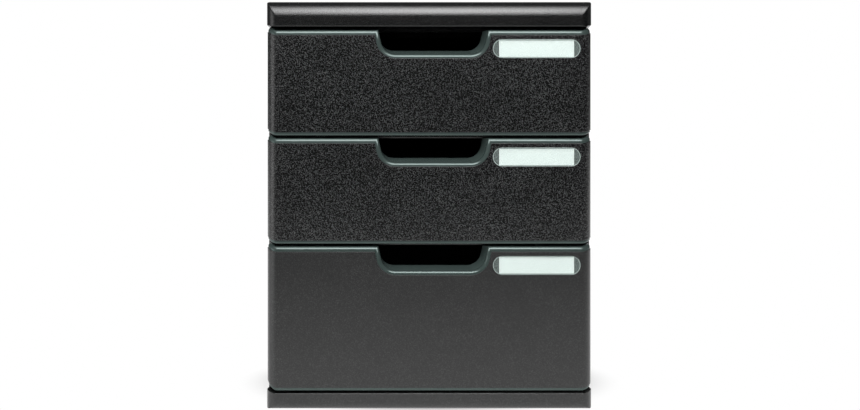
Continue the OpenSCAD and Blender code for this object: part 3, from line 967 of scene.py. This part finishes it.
    def ledge(self, low: float, left: float, right: float, lifts: Point2) -> Lists:
        """Builds a flange that runs back from the front wall and rises at the corners as it does.

        Args:
            low: Height of its underside.
            left: Its left end, or minus the half width for the corner.
            right: Its right end, or the half width for the corner.
            lifts: How far it rises at the left and the right corner.

        Returns:
            Vertices and faces of the closed flange.
        """
        near = self.face_y + self.field_raise + self.top_r - self.overlap
        inner_r = self.corner_r - self.wall + self.tuck
        turns = [math.pi / 2 * (k + 1) / self.ledge_steps for k in range(self.ledge_steps)]
        places = [(max(left, -self.flat), near, 0.0, 0.0), (min(right, self.flat), near, 0.0, 0.0)]
        for side, end in ((-1, left), (1, right)):
            if side * end < self.flat:
                beyond = [(end, near, 0.0, self.left_draft if end < self.notch_x else -self.lip_draft)]
            else:
                beyond = [(side * (self.flat + inner_r * math.sin(a)),
                           max(near, self.face_y + self.corner_r - inner_r * math.cos(a)),
                           lifts[0 if side < 0 else 1] * math.sin(a) ** 2, 0.0) for a in turns]
            places = beyond[::-1] + places if side < 0 else places + beyond
        return loft([
            [(x, y, low + rise), (x + draft, self.back_y, low + rise),
             (x + draft, self.back_y, low + rise + self.wall), (x, y, low + rise + self.wall)]
            for x, y, rise, draft in places
        ])

    def ledges(self) -> list[Lists]:
        """Builds the flange under the front and the two beside the notch above.

        Returns:
            Vertices and faces of each.
        """
        ends = self.notch_path(self.ledge_gap, self.top_z)
        high = self.top_z - self.wall
        return [
            self.ledge(self.low_z, -self.half, self.half, self.lift_low),
            self.ledge(high, -self.half, ends[-1][0] - self.left_draft, self.lift_top),
            self.ledge(high, ends[0][0] + self.lip_draft, self.half, self.lift_top),
        ]

    def hooks(self) -> list[Lists]:
        """Builds the four snap hooks that hold the front on its tray.

        Returns:
            Vertices and faces of each.
        """
        start, end = self.wall - self.hook_root, self.wall + self.hook_l
        catch = end - self.barb_l
        shells = []
        for x in (-self.half + self.hook_inset, self.half - self.hook_inset):
            for z in (self.low_z + self.hook_low, self.top_z - self.hook_high):
                side = [(start, z - self.hook_t), (end, z - self.hook_t), (end, z),
                        (catch, z + self.barb_h), (catch, z), (start, z)]
                shells.append(loft([
                    [(across, self.face_y + deep, up) for deep, up in side]
                    for across in (x - self.hook_w / 2, x + self.hook_w / 2)
                ]))
        return shells

    def build(self) -> list[Object]:
        """Builds and dresses the shell and the field.

        Returns:
            Both pieces.
        """
        floor = Plate(self.pocket(self.floor_lap), self.window_t, self.wall, 0.0)
        parts = [self.wrapped(self.shell_plate()), self.lip(), self.wrapped(floor),
                 *self.ledges(), *self.hooks()]
        return [
            dress(f"{self.node}_{part}", lists, material, self.body, self.node)
            for part, lists, material in (
                ("shell", join_shells(parts), self.polished),
                ("field", self.wrapped(self.field_plate()), self.grained),
            )
        ]


@dataclass
class Shell:
    """What the cover and the plinth share: sizes, outlines from above, and places of the pegs."""

    material: Material
    ribs: Recipe
    node: str = ""
    half: float = 144 * MM
    casing_half: float = 143 * MM
    casing_front_gap: float = 14 * MM
    corner_r: float = 9.5 * MM
    rear_corner_r: float = 6.5 * MM
    least_r: float = 0.5 * MM
    corner_steps: int = 24
    rear_corner_steps: int = 12
    wall: float = 2.5 * MM
    lip_r: float = 0.8 * MM
    lip_steps: int = 4
    rib_t: float = 1.8 * MM
    ribs_across: int = 4
    ribs_along: int = 3
    peg_x: float = 135.5 * MM
    peg_front: float = 15 * MM
    peg_rear: float = 18 * MM

    def __post_init__(self) -> None:
        """Reads the moulding's place from the frame."""
        low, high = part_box(self.node)
        self.front, self.back, self.low, self.top = low[1], high[1], low[2], high[2]
        self.casing_front = self.front + self.casing_front_gap

    def pegs(self) -> list[Point2]:
        """Gives the places of the four pegs, seen from above."""
        return [(x, y) for x in (-self.peg_x, self.peg_x)
                for y in (self.casing_front + self.peg_front, self.back - self.peg_rear)]

    def ring(self, inset: float, z: float, front: float, back: float,
             pull: tuple[float, float, float] = (0.0, 0.0, 0.0), lift: float = 0.0) -> list[tuple]:
        """Gives the outline at one height, cut back to a smaller box where the edges are rounded.

        Args:
            inset: How far it lies inside the outside of the moulding.
            z: Its height.
            front: Place of the front.
            back: Place of the back.
            pull: How far the sides, the front and the back lie further in at this height.
            lift: How far the ring rises past the front corners.

        Returns:
            The ring's places.
        """
        half, reach = self.half - inset, self.half - inset - pull[0]
        near, far = max(self.corner_r - inset, self.least_r), max(self.rear_corner_r - inset, self.least_r)
        steps = self.corner_steps
        turned = arc((half - near, front + near), near, -90, 0, steps)
        points = [(x, y, math.sin(math.pi / 2 * k / steps) ** 2) for k, (x, y) in enumerate(turned)]
        points += [(x, y, 1.0) for x, y in arc((half - far, back - far), far, 0, 90, self.rear_corner_steps)]
        points += [(-x, y, share) for x, y, share in reversed(points)]
        return [
            (max(-reach, min(reach, x)), max(front + pull[1], min(back - pull[2], y)), z + lift * share)
            for x, y, share in points
        ]

    def rib_grid(self, half: float, front: float, back: float, under: float, rib_h: float) -> Lists:
        """Builds the ribs under a plate.

        Args:
            half: Half their width.
            front: Place of their front.
            back: Place of their back.
            under: Height of the plate's underside.
            rib_h: Height of a rib.

        Returns:
            Vertices and faces of the ribs.
        """
        return self.ribs.run(self.material, {
            "Half": half, "Front": front, "Back": back, "Low": under - rib_h, "High": under + self.wall / 2,
            "Thick": self.rib_t, "Across": self.ribs_across, "Along": self.ribs_along})


@dataclass
class TopCover(Shell):
    """The cover: a hood with a wide round front edge, an inner ring, ribs and four pegged posts."""

    node: str = "top_cover"
    front_r: float = 15.5 * MM
    front_steps: int = 24
    inner_steps: int = 16
    edge_r: float = 3 * MM
    gap: float = 2 * MM
    lift: float = 2.2 * MM
    rib_h: float = 8 * MM
    post_r: float = 4.4 * MM
    peg_r: float = 3 * MM
    ring_gap: float = 0.6 * MM
    posts: Recipe | None = None

    def hood(self, inset: float, steps: int) -> list[list[tuple]]:
        """Gives the rings of the hood's outside or inside, from the lower edge to the top.

        Args:
            inset: 0 for the outside, the wall for the inside.
            steps: Number of steps of the front rounding.

        Returns:
            The rings.
        """
        low, top = self.low + PEG_H + self.gap, self.top - inset
        front_r, edge_r = self.front_r - inset, max(self.edge_r - inset, self.least_r)
        front, back = self.front + inset, self.back - inset
        rings = []
        for k in range(0 if inset == 0.0 else self.lip_steps, self.lip_steps + 1):
            turn = math.pi / 2 * k / self.lip_steps
            z = low + (self.lip_r * (1 - math.cos(turn)) if inset == 0.0 else 0.0)
            pull = self.lip_r * (1 - math.sin(turn))
            rings.append(self.ring(inset, z, front, back, (pull,) * 3, self.lift))
        for k in range(steps + 1):
            turn = math.pi / 2 * k / steps
            z = top - front_r * (1 - math.sin(turn))
            pull = rounded(edge_r, z - top + edge_r)
            rings.append(self.ring(inset, z, front, back, (pull, front_r * (1 - math.cos(turn)), pull)))
        return rings

    def build(self) -> list[Object]:
        """Builds and dresses the cover.

        Returns:
            The one piece.
        """
        stack, under = self.low + PEG_H, self.top - self.wall
        half = self.casing_half - self.wall - self.ring_gap
        front, back = self.casing_front + self.wall, self.back - self.wall / 2
        outer = [(-half, front), (half, front), (half, back), (-half, back)]
        inner = move_in(outer, [self.wall] * 4)
        walls = [
            loft([[(*outer[k - 1], z), (*outer[k], z), (*inner[k], z), (*inner[k - 1], z)]
                  for z in (stack, under + self.wall / 2)])
            for k in (1, 2, 3, 0)
        ]
        rings = self.hood(0.0, self.front_steps)[::-1] + self.hood(self.wall, self.inner_steps)
        ribs = self.rib_grid(half - self.wall * 0.75, front + self.wall / 2, back - self.wall / 2,
                             under, self.rib_h)
        posts = self.posts.run(self.material, {
            "Post Radius": self.post_r, "Post Height": under + self.wall / 2 - stack,
            "Peg Radius": self.peg_r, "Peg Height": PEG_H,
        }, [(x, y, stack) for x, y in self.pegs()])
        lists = join_shells([loft(rings), *walls, ribs, posts])
        return [dress("top_cover_moulding", lists, self.material, "cabinet", self.node)]


@dataclass
class BasePlinth(Shell):
    """The plinth: a low ribbed base with a round lower front edge, four foot cups and a seat."""

    node: str = "base_plinth"
    front_r: float = 5.5 * MM
    front_steps: int = 12
    edge_r: float = 2 * MM
    seat_step: float = 0.6 * MM
    seat_lap: float = 0.2 * MM
    lift: float = 2.9 * MM
    rib_h: float = 4 * MM
    foot_r: float = 7.15 * MM
    foot_x: float = 122 * MM
    foot_y: float = 144.5 * MM
    foot_top: float = 3.2 * MM
    cup_edge: float = 0.3 * MM
    socket_r: float = 3.2 * MM

    def skirt(self) -> Lists:
        """Builds the skirt with its round lower edges and the hollow under it.

        Returns:
            Vertices and faces.
        """
        top = self.top - self.seat_step
        rings = []
        for k in range(self.lip_steps, -1, -1):
            turn = math.pi / 2 * k / self.lip_steps
            z, pull = top - self.lip_r * (1 - math.sin(turn)), self.lip_r * (1 - math.cos(turn))
            rings.append(self.ring(0.0, z, self.front, self.back, (pull,) * 3, self.lift))
        for k in range(self.front_steps + 1):
            turn = math.pi / 2 * k / self.front_steps
            z = self.low + self.front_r * (1 - math.sin(turn))
            pull, bow = rounded(self.edge_r, self.low + self.edge_r - z), self.front_r * (1 - math.cos(turn))
            rings.append(self.ring(0.0, z, self.front, self.back, (pull, bow, pull)))
        front, back = self.front + self.front_r + self.rib_t / 2, self.back - self.wall
        rings += [self.ring(self.wall, z, front, back) for z in (self.low, top - self.wall)]
        return loft(rings)

    def seat_plate(self) -> Lists:
        """Builds the raised seat on which the lowest casing stands, with its four peg holes.

        Returns:
            Vertices and faces.
        """
        half, near, far = self.casing_half, self.casing_front, self.back - REAR_R
        outline = [(-half, near), (half, near), *arc((half - REAR_R, far), REAR_R, 0, 90, 10),
                   *arc((-half + REAR_R, far), REAR_R, 90, 180, 10)]
        holes = [arc(place, self.socket_r, 0, 345, 23) for place in self.pegs()]
        verts, faces = mesh_lists(Plate(outline, 0.0, self.seat_step + self.seat_lap, 0.0, holes).build())
        return closed_lists([(x, y, self.top - deep) for x, deep, y in verts], faces)

    def build(self) -> list[Object]:
        """Builds and dresses the plinth.

        Returns:
            The one piece.
        """
        under = self.top - self.seat_step - self.wall
        front = self.front + self.front_r + self.rib_t / 2 - self.wall / 4
        inset = self.wall * 0.75
        ribs = self.rib_grid(self.half - inset, front, self.back - inset, under, self.rib_h)
        outer, roof = self.foot_r + self.wall, under + self.wall / 2
        cup = [(0.0, roof), (outer, roof), (outer, self.low + self.cup_edge),
               (outer - self.cup_edge, self.low), (self.foot_r, self.low),
               (self.foot_r, self.foot_top), (0.0, self.foot_top)]
        cups = [lathe(cup, (x, y)) for x in (-self.foot_x, self.foot_x) for y in (-self.foot_y, self.foot_y)]
        lists = join_shells([self.skirt(), self.seat_plate(), ribs, *cups])
        return [dress("base_plinth_moulding", lists, self.material, "cabinet", self.node)]


@dataclass
class WindowBead:
    """The thin rim of a label window, a bead that follows its outline. Its paler, less clear finish is
    partly a painted highlight along the window's edge.
    """

    front: DrawerFront
    material: Material
    recipe: Recipe
    radius: float = 0.3 * MM
    inset: float = 0.4 * MM

    def build(self) -> list[Object]:
        """Builds and dresses the bead.

        Returns:
            The one piece.
        """
        line = [(x, self.front.face_y + self.inset, z) for x, z in self.front.pocket(-self.inset)]
        edges = [(k, (k + 1) % len(line)) for k in range(len(line))]
        lists = self.recipe.run(self.material, {"Radius": self.radius}, line, edges)
        name = f"label_window_{self.front.level.value}_rim"
        return [dress(name, closed_lists(*lists), self.material, self.front.body)]


@dataclass
class CastCopy:
    """A moulding whose CAD shape is right: its welded copy gets the finish.

    The outer edges of a casing, where it meets the mouldings under and over it, are rounded by
    seam_round, so that the seams show.
    """

    node: str
    body: str
    slot: str
    material: Material
    seam_round: float = 0.0
    weld: float = 0.002 * MM
    near: float = 0.03 * MM
    level: float = 0.01 * MM
    crisp_degrees: float = 28.0

    def seam_edges(self, mesh: BMesh) -> list[BMEdge]:
        """Finds the edges along both sides, the back and the rear corners, at the two levels.

        Args:
            mesh: The casing's mesh.

        Returns:
            The edges.
        """
        low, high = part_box(self.node)
        levels = (low[2] + PEG_H, high[2])

        def on_outline(place: Vector) -> bool:
            """Tells whether a point lies on the outer wall, seen from above."""
            across, along = abs(place.x) - high[0] + REAR_R, place.y - high[1] + REAR_R
            return abs(math.hypot(max(0.0, across), max(0.0, along)) - REAR_R) < self.near

        return [
            edge for edge in mesh.edges if all(on_outline(v.co) for v in edge.verts)
            and any(all(abs(v.co.z - z) < self.level for v in edge.verts) for z in levels)
        ]

    def build(self) -> list[Object]:
        """Builds and dresses the copy.

        Returns:
            The one piece.
        """
        mesh = bmesh.new()
        mesh.from_mesh(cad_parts[self.node].data)
        bmesh.ops.remove_doubles(mesh, verts=mesh.verts, dist=self.weld)
        if self.seam_round:
            bmesh.ops.dissolve_limit(mesh, angle_limit=math.radians(0.3), verts=mesh.verts, edges=mesh.edges)
            bmesh.ops.bevel(mesh, geom=self.seam_edges(mesh), offset=self.seam_round, segments=2,
                            profile=0.5, affect="EDGES")
        return [dress(f"{self.node}_moulding", mesh_lists(mesh), self.material, self.body,
                      self.node, self.crisp_degrees)]


@dataclass
class Studio:
    """The floor, the lamps, the world and the camera."""

    picture_w: int = 860
    cabinet_px: float = 327.1
    cabinet_w: float = 288 * MM
    camera_away: float = 0.9
    camera_z: float = 181 * MM
    camera_x: float = 0.8 * MM
    sensor_mm: float = 36.0
    world_light: float = 0.28
    room_light: float = 0.04
    floor_half: float = 6.0
    floor_shine: float = 1.4
    seen_from: Point2 = (0.12, 0.2)
    mirrored_from: Point2 = (0.0, 0.19)
    lit_from: Point2 = (-0.8, -1.2)

    def camera(self) -> None:
        """Places the camera straight in front, so that the cabinet fills the picture as photographed."""
        data = bpy.data.cameras.new("front_camera")
        data.sensor_width = self.sensor_mm
        data.lens = self.sensor_mm * self.camera_away / (self.picture_w * self.cabinet_w / self.cabinet_px)
        data.clip_start = 0.05
        camera = bpy.data.objects.new("front_camera", data)
        camera.location = (self.camera_x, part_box("front_top")[0][1] - self.camera_away, self.camera_z)
        camera.rotation_euler = (math.pi / 2, 0, 0)
        bpy.context.scene.collection.objects.link(camera)
        bpy.context.scene.camera = camera

    def lamps(self) -> None:
        """Hangs the lamps: a wide soft one and a tighter one high in front, and a weak one at the left."""
        for name, place, aim, size, watts in (
            ("front_soft_lamp", (0.0, -0.93, 1.52), (0.0, -0.17, 0.35), (0.95, 1.3), 15),
            ("front_core_lamp", (0.0, -1.08, 1.35), (0.0, -0.17, 0.35), (0.8, 0.88), 14),
            ("left_soft_lamp", (-1.3, -0.88, 0.35), (0.0, -0.17, 0.22), (1.0, 0.9), 4),
        ):
            data = bpy.data.lights.new(name, "AREA")
            data.shape = "RECTANGLE"
            data.size, data.size_y = size
            data.energy = watts
            lamp = bpy.data.objects.new(name, data)
            lamp.location = place
            lamp.rotation_euler = (Vector(aim) - Vector(place)).to_track_quat("-Z", "Y").to_euler()
            bpy.context.scene.collection.objects.link(lamp)

    def rays(self, tree: NodeTree) -> tuple[NodeSocket, NodeSocket]:
        """Tells camera rays and mirror-like rays apart from those that only light a surface.

        Args:
            tree: The tree that gets the nodes.

        Returns:
            1 for a camera ray, and 1 for a glossy or transmission ray.
        """
        path = add_node(tree, "ShaderNodeLightPath")
        shiny = add_node(tree, MATH, {
            0: path["Is Glossy Ray"], 1: path["Is Transmission Ray"]}, operation="MAXIMUM")[0]
        return path["Is Camera Ray"], shiny

    def world(self) -> None:
        """Makes the white world: a white backdrop behind the cabinet, and a dimmer room in front of it."""
        world = bpy.data.worlds.new("white_studio")
        world.use_nodes = True
        tree = world.node_tree
        tree.nodes.clear()
        camera_ray, shiny_ray = self.rays(tree)
        direction = add_node(tree, "ShaderNodeTexCoord")["Generated"]
        away = add_node(tree, "ShaderNodeSeparateXYZ", {0: direction})
        behind = add_node(tree, MAP, {
            "Value": away["Y"], "From Min": -0.3, "From Max": 0.3}, interpolation_type="SMOOTHSTEP")[0]
        low = add_node(tree, MAP, {
            "Value": away["Z"], "From Min": 0.0, "From Max": 0.1, "To Min": 1.0, "To Max": 0.08,
        }, interpolation_type="SMOOTHSTEP")[0]
        room = add_node(tree, MAP, {"Value": behind, "To Min": self.room_light, "To Max": low})[0]
        dim = add_node(tree, MAP, {"Value": shiny_ray, "To Min": self.world_light, "To Max": room})[0]
        strength = add_node(tree, MAP, {"Value": camera_ray, "To Min": dim, "To Max": 1.0})[0]
        light = add_node(tree, "ShaderNodeBackground", {"Color": (1, 1, 1, 1), "Strength": strength})[0]
        add_node(tree, "ShaderNodeOutputWorld", {"Surface": light})
        bpy.context.scene.world = world

    def floor(self) -> None:
        """Lays the pale floor, which takes the cabinet's shadow and turns white away from it."""
        half = self.floor_half
        corners = [(-half, -half, 0), (half, -half, 0), (half, half, 0), (-half, half, 0)]
        floor = new_piece("studio_floor", corners, [(0, 1, 2, 3)])
        material, tree, place = new_material("pale matt studio floor")
        camera_ray, shiny_ray = self.rays(tree)
        # Mirror-like rays see a wider white floor than the camera does, and one that shines.
        start, end, shine = [
            add_node(tree, MAP, {"Value": shiny_ray, "To Min": seen, "To Max": mirrored})[0]
            for seen, mirrored in (*zip(self.seen_from, self.mirrored_from), (1.0, self.floor_shine))
        ]
        seen = add_node(tree, MATH, {0: camera_ray, 1: shiny_ray}, operation="MAXIMUM")[0]
        away = add_node(tree, "ShaderNodeVectorMath", {0: place}, operation="LENGTH")["Value"]
        far = add_node(tree, MAP, {
            "Value": away, "From Min": start, "From Max": end}, interpolation_type="SMOOTHSTEP")[0]
        ahead = add_node(tree, "ShaderNodeSeparateXYZ", {0: place})["Y"]
        unlit = add_node(tree, MAP, {
            "Value": ahead, "From Min": self.lit_from[0], "From Max": self.lit_from[1],
        }, interpolation_type="SMOOTHSTEP")[0]
        dark = add_node(tree, MATH, {0: unlit, 1: shiny_ray}, operation="MULTIPLY")[0]
        lit = add_node(tree, MATH, {0: 1.0, 1: dark}, operation="SUBTRACT")[0]
        glowing = add_node(tree, MATH, {0: far, 1: seen}, operation="MULTIPLY")[0]
        white = add_node(tree, MATH, {0: glowing, 1: lit}, operation="MULTIPLY")[0]
        shade = add_node(tree, "ShaderNodeMix", {
            0: dark, 6: linear_rgb("f2f2f1"), 7: linear_rgb("3a3a3a")}, data_type="RGBA")[2]
        matt = add_node(tree, "ShaderNodeBsdfDiffuse", {"Color": shade})[0]
        glow = add_node(tree, "ShaderNodeEmission", {"Color": (1, 1, 1, 1), "Strength": shine})[0]
        surface = add_node(tree, "ShaderNodeMixShader", {0: white, 1: matt, 2: glow})[0]
        add_node(tree, "ShaderNodeOutputMaterial", {"Surface": surface})
        floor.data.materials.append(material)

    def build(self) -> None:
        """Sets up the whole studio."""
        self.camera()
        self.lamps()
        self.world()
        self.floor()
        bpy.context.scene.view_settings.view_transform = "Standard"


def main() -> None:
    """Builds the studio and every visible piece of the cabinet, and logs how many faces each piece has."""
    logging.basicConfig(level=logging.INFO, format="%(name)s: %(message)s")
    Studio().build()
    shell = GrainedPlastic(
        "spark eroded black polystyrene shell", colour="030304", painted_glint_colour="202121").build()
    coarse = GrainedPlastic("spark eroded black polystyrene front").build()
    # The low pieces get a lighter copy of the grained black: partly a finer grain, partly painted reflection
    # of the floor.
    fine = GrainedPlastic("evenly grained black polystyrene front", colour="0c0d0d", painted_glint_colour="303030",
                          depth_mm=0.05, roughness=0.33, glint=0.03).build()
    polished = PolishedPlastic("polished black polystyrene with painted grey-green sheen").build()
    inside = PolishedPlastic("satin black polystyrene of the trays", colour="0c0d0d", haze_colour="121414",
                             roughness=0.3, specular=0.3).build()
    rubber = FootRubber("moulded black rubber").build()
    paper = CardPaper("uncoated white card").build()
    clear = ClearPlastic("clear crystal polystyrene").build()
    # The rim's paler, less clear finish paints the bright edge line of the window: a painted highlight.
    rim = ClearPlastic("clear crystal polystyrene, thick at the rim", colour="cfe0db", alpha=0.4).build()
    ribs, posts, beads, bend = rib_recipe(), post_recipe(), bead_recipe(), wrap_recipe()

    # The plinth takes the lighter low finish, whose lighter colour is painted floor reflection.
    parts: list = [BasePlinth(fine, ribs), TopCover(shell, ribs, posts=posts)]
    parts += [
        CastCopy(f"foot_{end}_{side}", "cabinet", "foot_rubber", rubber)
        for end in ("front", "rear") for side in ("left", "right")
    ]
    for level in Level:
        drawer = f"drawer_{level.value}"
        front = DrawerFront(level, fine if level is Level.BOTTOM else coarse, polished, bend)
        if level is Level.BOTTOM:
            front.lift_low = (6.5 * MM, 3.2 * MM)
        parts += [
            CastCopy(f"casing_{level.value}", "cabinet", "shell_grained", shell, seam_round=0.7 * MM),
            CastCopy(f"tray_{level.value}", drawer, "tray_smooth", inside),
            front,
            CastCopy(f"label_card_{level.value}", drawer, "label_paper", paper),
            CastCopy(f"label_window_{level.value}", drawer, "label_clear", clear),
            WindowBead(front, rim, beads),
        ]
    for part in parts:
        for piece in part.build():
            log.info("%s: %d faces", piece.name, len(piece.data.polygons))


if __name__ == "__main__":
    main()
